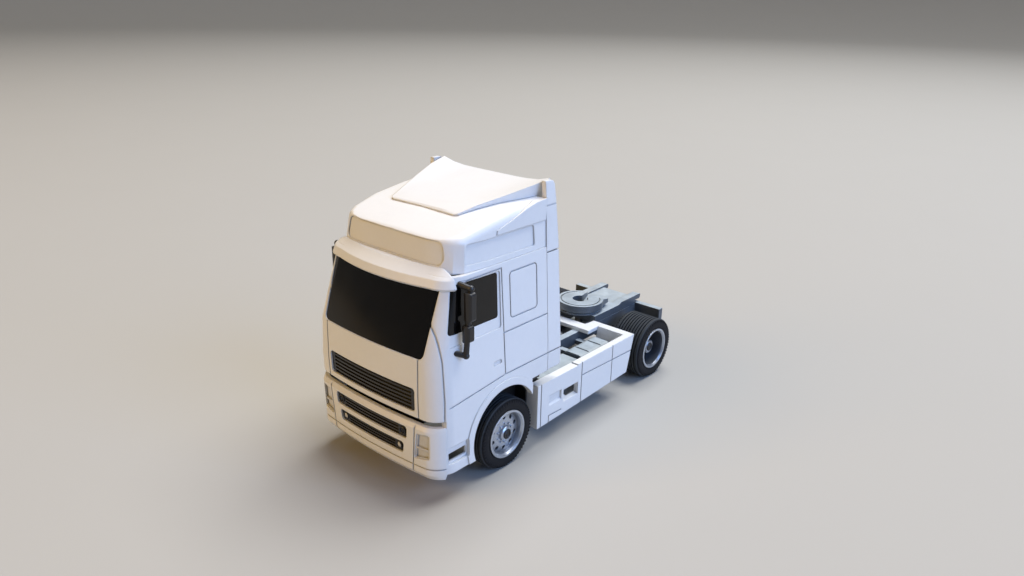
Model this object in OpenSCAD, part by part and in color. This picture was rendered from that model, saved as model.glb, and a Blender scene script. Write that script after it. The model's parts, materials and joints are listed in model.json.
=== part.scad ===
// Scale model of a two-axle tractor unit with a high-roof sleeper cab, in millimetres.
// The ground is z = 0, the front of the cab looks along -Y and the middle plane is x = 0.
// Every piece is drawn with y = 0 at the front axle and then moved to the middle of the model.

/* [Overall] */
// Length from the bumper to the tips of the rear deck
overall_length = 119.6; // [118:0.2:124]
// Width across the cab sides at the belt line
body_width = 49.6; // [48.4:0.2:51]
// Distance from the front axle to the rear axle
wheelbase = 76.5; // [75:0.5:78]
// Distance from the front of the bumper to the front axle
front_overhang = 28.9; // [28.5:0.1:29.4]

/* [Wheels] */
// Diameter of every tyre
tyre_d = 20.8; // [20.2:0.1:21.2]
// Diameter of the rims where the tyres sit
rim_d = 13.6; // [12.8:0.1:14.2]
// Width of a front tyre
front_tyre_w = 6.2; // [5.6:0.1:6.8]
// Width of a rear twin tyre
rear_tyre_w = 11.8; // [11:0.1:12.4]
// How far the outer faces of the tyres lie inside the cab sides
tyre_inset = 0.6; // [0.4:0.1:1]
// Diameter of the axle rods
axle_d = 2; // [1.6:0.1:2.4]
// Radial clearance of an axle rod in its bearing
axle_clearance = 0.05; // [0.02:0.01:0.1]
// Depth of the hub behind the outer face of a front rim
front_dish = 1.3; // [1:0.1:2]
// Depth of the hub behind the outer face of a rear rim
rear_dish = 5.2; // [4.4:0.1:6]

/* [Cab] */
// Height of the lower edge of the cab sides
sill_z = 8.8; // [8:0.1:10]
// Height of the belt, above which the sides lean inwards
belt_z = 30; // [29:0.5:31]
// Height where the windscreen starts to lean back
glass_z = 40.5; // [39.5:0.5:41.5]
// Height of the seam between the cab and the high roof
seam_z = 61; // [60:0.5:62]
// How far the windscreen leans back from its foot to the roof seam
screen_rake = 6.1; // [5:0.1:7]
// How far the sides lean in from the belt to the roof seam
side_lean = 1.8; // [1.4:0.1:2.2]
// Distance of the rear wall of the cab behind the front axle
cab_back = 15.9; // [15:0.1:17]
// Radius of the front corners in plan
corner_r = 6; // [5:0.1:7]
// How far the middle of the front bulges ahead of the corners
front_sag = 1; // [0.6:0.1:1.4]
// Wall thickness of the cab, roof and bumper mouldings
wall = 1.5; // [1.2:0.1:1.8]
// Radius of the front wheel arches
arch_r = 12.8; // [12.4:0.1:13.2]

/* [Roof] */
// Height of the roof above the seam at its front edge
roof_front_h = 8.2; // [7.6:0.1:8.8]
// Height of the roof above the seam at its rear edge
roof_back_h = 13.4; // [12.8:0.1:14]
// Height of the rear tips of the roof deflector above the seam
deflector_h = 17.8; // [17:0.1:18.6]
// How far the side fairings reach behind the cab
fairing_l = 5.9; // [5.4:0.1:7]

/* [Bumper] */
// Height of the lower lip of the bumper
lip_z = 7.2; // [6.6:0.1:7.8]
// Height of the top of the bumper
bumper_top_z = 22.7; // [22.2:0.1:23]
// How far the bumper stands ahead of the front panel
bumper_proud = 0.5; // [0.3:0.1:0.8]

/* [Chassis] */
// Height of the top of the frame rails
rail_top_z = 19.4; // [19:0.1:19.8]
// Height of a frame rail's section
rail_h = 4.6; // [4:0.1:5.2]
// Width of a frame rail
rail_w = 2.5; // [2.2:0.1:2.8]
// Width over the two frame rails
frame_w = 16.8; // [16.4:0.1:17.2]
// Height of the top of the rear deck above the rails
deck_h = 2.6; // [2.2:0.1:3]

/* [Side skirts] */
// Height of the top edge of the skirts
skirt_top_z = 20.7; // [20.4:0.1:21.2]
// Height of the lower edge of the skirts at their rear end
skirt_low_z = 8; // [7.4:0.1:8.6]
// How far ahead of the rear axle the skirts end
skirt_back = 14.6; // [13.8:0.1:15.6]
// Thickness of the skirt walls
skirt_t = 1.5; // [1.2:0.1:1.8]

/* [Fifth wheel] */
// Distance of the king pin hole ahead of the rear axle
pin_ahead = 11.3; // [10.5:0.1:12]
// Radius of the king pin hole
pin_r = 2.7; // [2.4:0.1:3]
// Radius of the round coupling plate
plate_r = 7.9; // [7.4:0.1:8.4]
// Thickness of the coupling plate
plate_t = 2.4; // [2:0.1:2.8]

/* [Details] */
// Width of the engraved panel lines
groove_w = 0.36; // [0.3:0.02:0.5]
// Depth of the engraved panel lines
groove_d = 0.3; // [0.2:0.02:0.4]
// Gap between pieces that are fitted together
fit_gap = 0.05; // [0.03:0.01:0.08]

/* [Hidden] */
$fn = 64;
front_axle_y = front_overhang - overall_length / 2;
rear_end = overall_length - front_overhang;
half_belt = body_width / 2;
half_seam = half_belt - side_lean;
axle_z = tyre_d / 2;
axle_r = axle_d / 2;
rim_r = rim_d / 2;
tyre_face = half_belt - tyre_inset;
panel_front = bumper_proud - front_overhang;
screen_top_y = panel_front + 0.2 + screen_rake;
lean_angle = atan(side_lean / (seam_z - belt_z));
rail_out = frame_w / 2;
rail_in = rail_out - rail_w;
deck_z = rail_top_z + deck_h;
pin_y = wheelbase - pin_ahead;
skirt_out = half_belt - 0.2;
skirt_front = axle_z + 1.9;
skirt_end = wheelbase - skirt_back;
overcut = 1;

// The wheel arch, with its middle a little ahead of and above the front axle
arch_y = -1.8;
arch_z = axle_z + 2.8;
arch_trim = 2.2;
trim_proud = 0.3;

// The bumper's rear edge and the gap between the bumper and the front panel
bumper_back = panel_front + 4.7;
front_split_z = bumper_top_z + 1.8;
front_seam_x = half_belt - 6.6;

// The door and the panels of the cab side, as y and z
door_front = bumper_back - 0.2;
door_back = -2.1;
door_low_front = belt_z - 2.2;
door_top_z = seam_z - 1.3;
handle_y = -5;
handle_z = belt_z + 4.3;
sleeper_seam_z = belt_z + 11.9;
sleeper_panel = [door_back + 2.7, sleeper_seam_z + 3.3, cab_back - 4.4, seam_z - 3.2];
window_low_z = sleeper_seam_z + 5;
window_high_z = seam_z - 1.9;
side_window = [[door_front + 1.9, window_low_z], [door_front + 4.5, window_high_z + 0.2],
    [door_back - 1.8, window_high_z - 0.2], [door_back - 2, window_low_z - 0.2]];
window_surround = [[door_front + 1.3, window_low_z - 3], [door_front + 4.1, window_high_z + 0.5],
    [door_back - 1, window_high_z + 0.2], [door_back - 1.1, window_low_z - 3.2]];
surround_depth = 0.3;
step_pocket = [door_front + 0.7, sill_z + 2.7, arch_y - arch_r - 1.6, sill_z + 7.8];
step_slot = [door_front + 0.7, sill_z + 3.4, arch_y - arch_r - 2, sill_z + 5.8];
step_depth = 0.8;
cab_low_z = 24.4;

// The openings of the cab's front, as x and z
screen_opening = [[5.4 - half_belt, glass_z + 0.3], [half_belt - 5.4, glass_z + 0.3],
    [half_seam - 3, seam_z - 0.8], [3 - half_seam, seam_z - 0.8]];
grille_half = half_belt - 8;
grille_opening = [[-grille_half, front_split_z + 1.5], [grille_half, front_split_z + 1.5],
    [grille_half + 0.1, belt_z + 2.5], [-grille_half - 0.1, belt_z + 2.5]];

// The floor of the cab
tub_z = tyre_d + 1.8;
tub_t = 1.2;

white = "white";
black = [0.05, 0.05, 0.06];
dark_grey = [0.2, 0.22, 0.24];
silver = [0.75, 0.77, 0.8];

// A closed skin through rings of points that run anticlockwise seen from the end of the stack
module loft(rings) {
    n = len(rings[0]);
    last = len(rings) - 1;
    sides = [for (j = [0 : last - 1], k = [0 : n - 1])
        let (a = j * n + k, b = j * n + (k + 1) % n)
        each [[a, a + n, b + n], [a, b + n, b]]];
    polyhedron(
        points = [for (ring = rings) each ring],
        faces = concat([[for (k = [0 : n - 1]) k]], sides, [[for (k = [n - 1 : -1 : 0]) last * n + k]]));
}

// One level of a body in plan: straight sides, round front corners and a bulged front
corner_steps = 8;
bulge_steps = 8;
function plan_ring(z, front, half, corner, sag, back) =
    let (flat = half - corner)
    concat(
        [[-half, back, z]],
        [for (k = [0 : corner_steps]) let (a = 180 + 90 * k / corner_steps)
            [-flat + corner * cos(a), front + sag + corner + corner * sin(a), z]],
        [for (k = [1 : bulge_steps - 1]) let (x = flat * (2 * k / bulge_steps - 1))
            [x, front + sag * pow(x / flat, 2), z]],
        [for (k = [0 : corner_steps]) let (a = 270 + 90 * k / corner_steps)
            [flat + corner * cos(a), front + sag + corner + corner * sin(a), z]],
        [[half, back, z]]);

// Half width of the cab side at a height
function side_half(z) = half_belt - max(0, z - belt_z) * side_lean / (seam_z - belt_z);

// Levels of the cab: height, front
cab_rows = [
    [sill_z, panel_front + 0.6],
    [belt_z, panel_front],
    [glass_z, panel_front + 0.2],
    [seam_z, panel_front + 0.2 + screen_rake]];

// The cab's outer form, moved inwards by inset and lengthened up and down by over
module cab_form(inset = 0, over = 0) {
    last = len(cab_rows) - 1;
    loft([for (k = [0 : last])
        let (row = cab_rows[k], z = row[0] + (k == 0 ? -over : k == last ? over : 0))
        plan_ring(z, row[1] + inset, side_half(row[0]) - inset, corner_r - inset, front_sag,
            cab_back - inset)]);
}

// Levels of the bumper: height, how far its front stands behind the foremost point
bumper_rows = [
    [lip_z, 1.5],
    [lip_z + 1.6, 0.35],
    [bumper_top_z - 1.1, 0],
    [bumper_top_z, 0.7]];

module bumper_form(inset = 0, over = 0) {
    last = len(bumper_rows) - 1;
    loft([for (k = [0 : last])
        let (row = bumper_rows[k], z = row[0] + (k == 0 ? -over : k == last ? over : 0))
        plan_ring(z, row[1] - front_overhang + inset, half_belt - 0.1 - inset, corner_r - inset, front_sag,
            bumper_back + 8)]);
}

// Sections of the roof: y, how far its sides lie inside the cab's at the seam,
// share of the rise from front edge to rear edge, shoulder radius, lean
roof_front = screen_top_y + 1.9;
roof_rows = [
    [roof_front, 14, -0.12, 0.8, 0.18],
    [roof_front + 0.4, 9, -0.06, 1, 0.18],
    [roof_front + 1.2, 5.4, 0, 1.4, 0.17],
    [roof_front + 2.8, 3, 0.08, 2, 0.15],
    [roof_front + 5.4, 1.5, 0.2, 2.5, 0.1],
    [roof_front + 13.2, 0.8, 0.6, 3, 0.04],
    [cab_back - 11.9, 0.8, 0.9, 3, 0],
    [cab_back, 0.8, 1, 3, 0]];
shoulder_steps = 5;
roof_flare = 0.5;
crown = 0.4;

// One section of the roof across the model, from its left foot over the crown to its right foot
function roof_ring(y, half, top, shoulder, lean, foot) =
    let (arc = [for (k = [0 : shoulder_steps]) let (a = 90 * k / shoulder_steps)
        [half - shoulder + shoulder * cos(a), top - shoulder + shoulder * sin(a)]],
        right = concat([[half + roof_flare, foot]], arc),
        line = concat([for (p = right) [-p[0], p[1]]], [[0, top + crown]],
            [for (k = [len(right) - 1 : -1 : 0]) right[k]]))
    [for (p = line) [p[0], y + lean * (p[1] - seam_z), p[1]]];

// The roof's outer form, moved inwards by inset and lengthened down by over
module roof_form(inset = 0, over = 0) {
    last = len(roof_rows) - 1;
    rise = roof_back_h - roof_front_h;
    loft([for (k = [0 : last])
        let (row = roof_rows[k], top = seam_z + roof_front_h + rise * row[2])
        roof_ring(row[0] + inset * (1 - 2 * k / last), half_seam - row[1] - inset, top - inset,
            max(0.4, row[3] - inset / 2), row[4], seam_z + fit_gap - over)]);
}

// A flat outline in the side view, as a slab between two distances from the middle plane
module side_slab(x0, x1) {
    translate([x0, 0, 0]) rotate([90, 0, 90]) linear_extrude(height = x1 - x0) children();
}

// A flat outline in the front view, as a slab between two places along the model
module front_slab(y0, y1) {
    translate([0, y1, 0]) rotate([90, 0, 0]) linear_extrude(height = y1 - y0) children();
}

module soft_corners(r) {
    offset(r = r, $fn = 32) offset(delta = -r) children();
}

module box(low, high) {
    translate(low) cube(high - low);
}

module both_sides() {
    children();
    mirror([1, 0, 0]) children();
}

// A line of the side view drawn as a strip as wide as a panel line
module strip(a, b) {
    d = b - a;
    translate(a) rotate(atan2(d[1], d[0])) translate([-groove_w / 2, -groove_w / 2])
        square([norm(d) + groove_w, groove_w]);
}

// A rectangle given by its low and high corners, with round corners made of true arcs
module round_rect(r, corner) {
    translate([r[0] + corner, r[1]]) square([r[2] - r[0] - 2 * corner, r[3] - r[1]]);
    translate([r[0], r[1] + corner]) square([r[2] - r[0], r[3] - r[1] - 2 * corner]);
    for (x = [r[0] + corner, r[2] - corner], z = [r[1] + corner, r[3] - corner])
        translate([x, z]) circle(r = corner);
}

// The outline of a pressed panel as one line with round corners
module panel_line(r, corner) {
    g = groove_w / 2;
    difference() {
        round_rect(r + [-g, -g, g, g], corner + g, $fn = 32);
        round_rect(r + [g, g, -g, -g], corner - g, $fn = 32);
    }
}

// Cuts of the leaning upper side, drawn in the plane of the side
module on_upper_side(depth) {
    translate([half_belt, 0, belt_z]) rotate([0, -lean_angle, 0]) translate([0, 0, -belt_z])
        side_slab(-depth, overcut) children();
}

module upper_side_lines() {
    on_upper_side(groove_d) {
        strip([door_back, belt_z], [door_back - 0.4, door_top_z]);
        strip([door_back - 0.4, door_top_z], [door_front + 6, door_top_z]);
        strip([door_back, sleeper_seam_z], [cab_back + 1, sleeper_seam_z]);
        panel_line(sleeper_panel, 1);
        translate([handle_y, handle_z]) round_rect([-1.6, -0.6, 1.6, 0.6], 0.5, $fn = 32);
    }
    on_upper_side(surround_depth) soft_corners(0.8) polygon(window_surround);
}

// Panel lines of the upright lower side
module lower_side_lines() {
    side_slab(half_belt - groove_d, half_belt + overcut) {
        strip([door_front - 1, door_low_front], [door_back, belt_z]);
        strip([door_back, belt_z], [cab_back + 1, belt_z]);
    }
}

module windscreen_outline(grow = 0) {
    offset(delta = grow) soft_corners(1.8) polygon(screen_opening);
}

module side_window_outline(grow = 0) {
    offset(delta = grow) soft_corners(0.8) polygon(side_window);
}

module grille_outline(grow = 0) {
    offset(delta = grow) soft_corners(1) polygon(grille_opening);
}

module cab_shell() {
    color(white) difference() {
        union() {
            cab_form();
            both_sides() intersection() {
                side_slab(half_belt - wall / 2, half_belt + trim_proud)
                    translate([arch_y, arch_z]) circle(r = arch_r + arch_trim);
                box([0, bumper_back + 1, sill_z], [half_belt + 1, cab_back - 2, belt_z]);
            }
        }
        cab_form(wall, overcut);
        // Room for the bumper, the chassis and the wheels
        box([-half_belt, -front_overhang, 0], [half_belt, bumper_back, front_split_z]);
        box([-half_belt - 1, arch_y, 0], [half_belt + 1, cab_back + 1, arch_z + 1]);
        box([-half_belt - 1, arch_y + arch_r - 1.6, 0], [half_belt + 1, cab_back + 1, cab_low_z]);
        side_slab(-half_belt - 1, half_belt + 1) translate([arch_y, arch_z]) circle(r = arch_r);
        // Windows, grille and step pockets
        front_slab(-front_overhang - 1, -14) windscreen_outline();
        front_slab(-front_overhang - 1, -18) grille_outline();
        both_sides() {
            side_slab(half_seam - wall - 2, half_belt + 1) side_window_outline();
            side_slab(half_belt - step_depth, half_belt + 1) round_rect(step_pocket, 0.5, $fn = 32);
            side_slab(half_belt - wall - 1, half_belt + 1) round_rect(step_slot, 0.5, $fn = 32);
            upper_side_lines();
            lower_side_lines();
        }
        // Upright seams beside the door and beside the front panel
        difference() {
            both_sides() {
                box([half_seam - 6, door_front - groove_w, sill_z], [half_belt + 1, door_front, seam_z - 1]);
                box([front_seam_x - groove_w, -front_overhang - 1, front_split_z],
                    [front_seam_x, door_front, glass_z + 1]);
            }
            cab_form(groove_d);
        }
    }
}

// Recessed sign panel in the front of the roof and the long panel in each side
sign_outline = [[4.4 - half_seam, seam_z + 1.8], [half_seam - 4.4, seam_z + 1.8],
    [half_seam - 5.6, seam_z + 7.7], [5.6 - half_seam, seam_z + 7.7]];
side_panel = [[roof_front + 5.6, seam_z + 1.8], [roof_front + 6.6, seam_z + 7],
    [cab_back - 4.9, seam_z + 7.1], [cab_back - 4.6, seam_z + 1.4]];
panel_depth = 0.4;

module roof_cap() {
    color(white) difference() {
        roof_form();
        roof_form(wall, overcut);
        difference() {
            union() {
                front_slab(-front_overhang, -12) soft_corners(1.9) polygon(sign_outline);
                both_sides() side_slab(half_seam - 6, half_seam + 1) soft_corners(0.7) polygon(side_panel);
            }
            roof_form(panel_depth);
        }
    }
}

// Levels of the sun visor: height above the seam, front ahead of the screen's top, half width beyond the seam
visor_rows = [
    [-3.2, -2.5, 0.6],
    [-2.6, -3.2, 0.8],
    [-0.6, -2.4, 0.6],
    [1.6, 0.4, 0]];
visor_back = screen_top_y + 3.3;
visor_sag = 2.4;

module sun_visor() {
    color(white) difference() {
        loft([for (row = visor_rows)
            plan_ring(seam_z + row[0], screen_top_y + row[1], half_seam + row[2], corner_r + 0.5, visor_sag,
                visor_back + 6)]);
        box([-half_belt, visor_back, seam_z - 5], [half_belt, 0, seam_z + 5]);
        cab_form(-fit_gap, fit_gap);
        roof_form(-2.4 * fit_gap, overcut);
    }
}

// Sections of the roof deflector: y, how far its sides lie inside the cab's at the seam,
// height of the edges and of the middle below the rear tips
deflector_back = cab_back + 4.1;
deflector_rows = [
    [deflector_back - 27.9, 11.4, -6.3, -6.2],
    [deflector_back - 27.3, 10.3, -5.9, -5.7],
    [deflector_back - 22, 8.8, -4.5, -4.5],
    [deflector_back - 14, 6, -2.8, -3.3],
    [deflector_back - 6, 3.6, -1.1, -2.1],
    [deflector_back, 2.8, 0, -1.5]];
deflector_steps = 10;
deflector_wall = 1.2;
horn_curl = 5;

function deflector_ring(row, inset, foot) =
    let (half = half_seam - row[1] - inset, tip = seam_z + deflector_h - inset)
    concat(
        [[-half + 1.8, row[0], foot]],
        [for (k = [0 : deflector_steps]) let (u = 2 * k / deflector_steps - 1)
            [half * u, row[0], tip + row[3] + (row[2] - row[3]) * pow(abs(u), horn_curl)]],
        [[half - 1.8, row[0], foot]]);

// The deflector's sections from one of them on, moved inwards and lengthened behind its rear edge
module deflector_form(first, inset, foot, over) {
    last = len(deflector_rows) - 1;
    loft([for (k = [first : last + 1])
        let (row = deflector_rows[min(k, last)], back = k > last ? over : 0)
        deflector_ring([row[0] + back, row[1], row[2], row[3]], inset, foot)]);
}

module roof_deflector() {
    foot = seam_z + roof_front_h + 1;
    color(white) difference() {
        deflector_form(0, 0, foot, overcut);
        roof_form(-fit_gap);
        // Hollow from behind
        deflector_form(2, deflector_wall, foot - overcut, 2 * overcut);
        // Square rear edge
        box([-half_belt, deflector_back, 0], [8 * half_belt, deflector_back + 3 * overcut, 4 * seam_z]);
    }
}

// Levels of a side fairing: height, half width, rear edge behind the cab
fairing_t = 1.4;
fairing_front = cab_back + 0.15;
fairing_rows = [
    [cab_low_z + 0.2, half_belt, fairing_l],
    [belt_z, half_belt, fairing_l],
    [seam_z, half_seam, fairing_l - 0.6],
    [seam_z + 12, half_seam - 0.6, fairing_l - 1.6],
    [seam_z + deflector_h - 1.2, half_seam - 1, fairing_l - 2],
    [seam_z + deflector_h - 0.3, half_seam - 1.1, fairing_l - 2.5],
    [seam_z + deflector_h, half_seam - 1.2, fairing_l - 3.2]];
fairing_seams = [belt_z - 0.2, seam_z - 1.8, seam_z + 11.1];

// The fin from the fairing along the roof's shoulder, as y and height above the seam
ear_tip = cab_back - 19.3;
ear_outline = [[ear_tip - 0.2, 7.4], [ear_tip, 8.6], [ear_tip + 5.8, 10.2], [ear_tip + 11.6, 12.2],
    [ear_tip + 15.7, 13.1], [fairing_front + 0.6, 13.4], [fairing_front + 0.6, 7.4]];

module side_fairing() {
    color(white) difference() {
        union() {
            loft([for (row = fairing_rows) let (back = cab_back + row[2])
                [[row[1], fairing_front, row[0]], [row[1], back, row[0]],
                    [row[1] - fairing_t, back, row[0]], [row[1] - fairing_t, fairing_front, row[0]]]]);
            translate([0, 0, seam_z]) side_slab(half_seam - 2.6, half_seam - 0.5) polygon(ear_outline);
        }
        roof_form(-fit_gap);
        for (z = fairing_seams) box([half_seam - 0.4 - groove_d, fairing_front, z],
            [half_belt + 1, cab_back + fairing_l + 1, z + groove_w]);
    }
}

// Dark insert with cross bars behind the front panel
grille_bars = 6;
module upper_grille() {
    low = grille_opening[0][1];
    pitch = (grille_opening[2][1] - low) / grille_bars;
    color(black) difference() {
        intersection() {
            front_slab(-front_overhang - 1, -18) grille_outline(-fit_gap);
            cab_form(0.4);
        }
        cab_form(wall);
        difference() {
            for (k = [0 : grille_bars - 1])
                box([1.4 - grille_half, -front_overhang - 1, low + pitch * (k + 0.3)],
                    [grille_half - 1.4, -18, low + pitch * (k + 0.85)]);
            cab_form(0.95);
        }
    }
}

// Slots of the bumper: lower and upper edge below its top,
// how far the lower and upper ends lie inside the cab sides
slot_rows = [
    [5.3, 1.6, 10.7, 10.4],
    [10, 6.7, 12.2, 11.7]];
function slot_outline(row) =
    let (low = bumper_top_z - row[0], high = bumper_top_z - row[1])
    let (a = half_belt - row[2], b = half_belt - row[3])
    [[-a, low], [a, low], [b, high], [-b, high]];

// The corner lamp and the bar between its two cells
lamp_outline = [[half_belt - 8.3, bumper_top_z - 10], [half_belt - 3.5, bumper_top_z - 9.1],
    [half_belt - 3.3, bumper_top_z - 1.8], [half_belt - 7.2, bumper_top_z - 2.3]];
lamp_bar_z = bumper_top_z - 6.6;
lamp_bar_w = 0.6;
lamp_frame = 0.4;
lip_seam_z = lip_z + 3.3;

module slots(grow = 0) {
    for (row = slot_rows) offset(delta = grow) soft_corners(0.9) polygon(slot_outline(row));
}

module lamp(grow = 0) {
    offset(delta = grow) soft_corners(0.6) polygon(lamp_outline);
}

module bumper() {
    color(white) difference() {
        bumper_form();
        bumper_form(wall, overcut);
        box([-half_belt, bumper_back, 0], [half_belt, 0, front_split_z]);
        front_slab(-front_overhang - 1, bumper_back + 1) {
            slots();
            lamp();
            mirror([1, 0]) lamp();
        }
        // The lip's seam and the slanted seams beside the lamps
        difference() {
            union() {
                box([-half_belt, -front_overhang - 1, lip_seam_z],
                    [half_belt, bumper_back + 1, lip_seam_z + groove_w]);
                both_sides() front_slab(-front_overhang - 1, bumper_back)
                    strip([half_belt - 9.1, lip_z - 1], [half_belt - 7.6, bumper_top_z + 1]);
            }
            bumper_form(groove_d, overcut);
        }
    }
}

slot_end = 3.2;
slot_bars = 4;
module lower_grille() {
    color(black) difference() {
        intersection() {
            front_slab(-front_overhang - 1, bumper_back) slots(-fit_gap);
            bumper_form(0.5);
        }
        bumper_form(wall);
        difference() {
            for (row = slot_rows, k = [0 : slot_bars - 1])
                let (pitch = (row[0] - row[1]) / slot_bars, low = bumper_top_z - row[0] + pitch * k)
                let (reach = half_belt - row[2] - slot_end)
                box([-reach, -front_overhang - 1, low + pitch * 0.25],
                    [reach, bumper_back, low + pitch * 0.8]);
            bumper_form(1);
        }
    }
}

module head_lamp() {
    color(silver) difference() {
        intersection() {
            front_slab(-front_overhang - 1, bumper_back) lamp(-fit_gap);
            bumper_form(0.25);
        }
        bumper_form(wall);
        // The two cells, sunk inside their frame
        difference() {
            front_slab(-front_overhang - 1, bumper_back) difference() {
                lamp(-lamp_frame);
                translate([0, lamp_bar_z - lamp_bar_w / 2]) square([half_belt, lamp_bar_w]);
            }
            bumper_form(0.7);
        }
    }
}

glass_inset = 0.3;
module windscreen() {
    color(black) difference() {
        intersection() {
            front_slab(-front_overhang - 1, -14) windscreen_outline(-fit_gap);
            cab_form(glass_inset);
        }
        cab_form(wall, overcut);
    }
}

module side_glass() {
    color(black) difference() {
        intersection() {
            side_slab(half_seam - wall - 2, half_belt + 1) side_window_outline(-fit_gap);
            cab_form(glass_inset);
        }
        cab_form(wall, overcut);
    }
}

// The mirror bracket: a leaning tube from the roof corner down to the door, with two housings on it
mirror_x = half_belt + 1;
mirror_low = [-18.2, belt_z + 11.4];
mirror_high = [-16.5, seam_z - 2.4];
mirror_tube_r = 0.75;
mirror_heads = [[seam_z - 10.6, seam_z - 3.2], [seam_z - 16, seam_z - 11.6]];
mirror_head_w = 2.6;
mirror_head_t = 1.6;
mirror_corner = 0.7;
mirror_lean = (mirror_high[0] - mirror_low[0]) / (mirror_high[1] - mirror_low[1]);
function mirror_y(z) = mirror_low[0] + mirror_lean * (z - mirror_low[1]);

module tube(a, b, r) {
    d = b - a;
    translate(a) rotate([0, acos(d[2] / norm(d)), atan2(d[1], d[0])]) cylinder(r = r, h = norm(d));
}

// A housing with a round front and soft corners, between two heights
module mirror_head(head) {
    w = mirror_head_w / 2;
    translate([mirror_x, mirror_y((head[0] + head[1]) / 2), 0]) intersection() {
        translate([0, 0, head[0]]) linear_extrude(height = head[1] - head[0]) {
            translate([-w, -0.6]) square([mirror_head_w, mirror_head_t]);
            translate([0, 0.4]) intersection() {
                circle(r = w * 1.24);
                translate([-w, -2 * w]) square([mirror_head_w, 2 * w]);
            }
        }
        front_slab(-4, 4) round_rect([-w, head[0], w, head[1]], mirror_corner);
    }
}

module mirror_arm() {
    low = [mirror_x, mirror_low[0], mirror_low[1]];
    high = [mirror_x, mirror_high[0], mirror_high[1]];
    foot_low = [side_half(low[2]) - 0.6, low[1] - 2.1, low[2] + 0.8];
    foot_high = [side_half(high[2]) - 0.6, high[1] - 0.9, high[2] + 0.7];
    color(black) difference() {
        union() {
            tube(low, high, mirror_tube_r);
            tube(foot_low, low, mirror_tube_r);
            tube(foot_high, high, mirror_tube_r);
            for (p = [low, high]) translate(p) sphere(r = mirror_tube_r + 0.15);
            for (head = mirror_heads) mirror_head(head);
        }
        cab_form(-fit_gap);
        for (head = mirror_heads) mirror_recess(head, 0);
    }
}

// The seat of a mirror's glass in the rear of its housing
module mirror_recess(head, gap) {
    back = mirror_y((head[0] + head[1]) / 2) + mirror_head_t - 0.6;
    edge = 0.35 + gap;
    box([mirror_x - mirror_head_w / 2 + edge, back - 0.3, head[0] + edge],
        [mirror_x + mirror_head_w / 2 - edge, back + (gap > 0 ? -0.05 : overcut), head[1] - edge]);
}

module mirror_glass() {
    color(silver) for (head = mirror_heads) mirror_recess(head, fit_gap);
}

// Floor of the cab with the engine cover between the seats, the bunk and a house over each front wheel
seat_x = half_belt - 13.3;
seat_w = 9;
cover_half = seat_x - seat_w / 2 - 2.5;
house_w = 7;
module cab_tub() {
    half = half_belt - wall - fit_gap;
    back = cab_back - wall - fit_gap;
    color(black) difference() {
        union() {
            box([-half, bumper_back + 2.6, tub_z], [half, back, tub_z + tub_t]);
            box([-cover_half, bumper_back + 4.6, tub_z], [cover_half, back, tub_z + 5]);
            box([1 - half, 2, tub_z], [half - 1, back, tub_z + 10]);
            both_sides() intersection() {
                side_slab(half - house_w, half) translate([arch_y, arch_z]) circle(r = arch_r + tub_t);
                box([0, -front_overhang, tub_z], [half, back, belt_z]);
            }
        }
        both_sides() side_slab(half - house_w + tub_t, half + 1)
            translate([arch_y, arch_z]) circle(r = arch_r);
    }
}

module seats() {
    z0 = tub_z + tub_t + fit_gap;
    color(dark_grey) both_sides() side_slab(seat_x - seat_w / 2, seat_x + seat_w / 2)
        polygon([[-9.5, z0], [-1, z0], [-1.4, z0 + 8], [1.6, z0 + 22], [-0.8, z0 + 22.6], [-4, z0 + 10.4],
            [-11, z0 + 11], [-11.2, z0 + 8.4], [-9, z0 + 8]]);
}

module dashboard() {
    z0 = tub_z + tub_t + fit_gap;
    half = half_belt - wall - 0.6;
    color(dark_grey) intersection() {
        side_slab(-half, half) polygon([[-22, z0], [-19.8, z0], [-19.4, belt_z + 3], [-17.6, belt_z + 5],
            [-18, belt_z + 7.4], [-21.5, belt_z + 10.2], [-27, belt_z + 10.2], [-27, belt_z + 3],
            [-23, belt_z + 1]]);
        cab_form(wall + fit_gap, overcut);
    }
}

wheel_ring_r = 4.1;
module steering_wheel() {
    color(black) translate([seat_x, -15.2, 38.4]) rotate([-60, 0, 0]) {
        rotate_extrude() translate([wheel_ring_r, 0]) circle(r = 0.4, $fn = 24);
        translate([-wheel_ring_r, -0.5, -0.25]) cube([2 * wheel_ring_r, 1, 0.5]);
        cylinder(r = 1.1, h = 0.6, center = true);
        translate([0, 0, -3]) cylinder(r = 0.55, h = 3);
    }
}

// Ladder frame with bearing tubes for the axle rods
rail_front = bumper_back - 0.3;
bar_gap = 0.8;
rail_back = wheelbase + axle_z + bar_gap;
cross_members = [rail_front + 1.5, -10, 18, skirt_end - 25.9, skirt_end - 14.9];
cab_mounts = [-17, 11];
bearing_r = axle_r + 1.3;

module bearing(y, reach) {
    translate([0, y, axle_z]) rotate([0, 90, 0]) cylinder(r = bearing_r, h = 2 * reach, center = true);
    both_sides() box([rail_in, y - bearing_r, axle_z - bearing_r + 0.3],
        [rail_out, y + bearing_r, rail_top_z - 1]);
}

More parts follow.
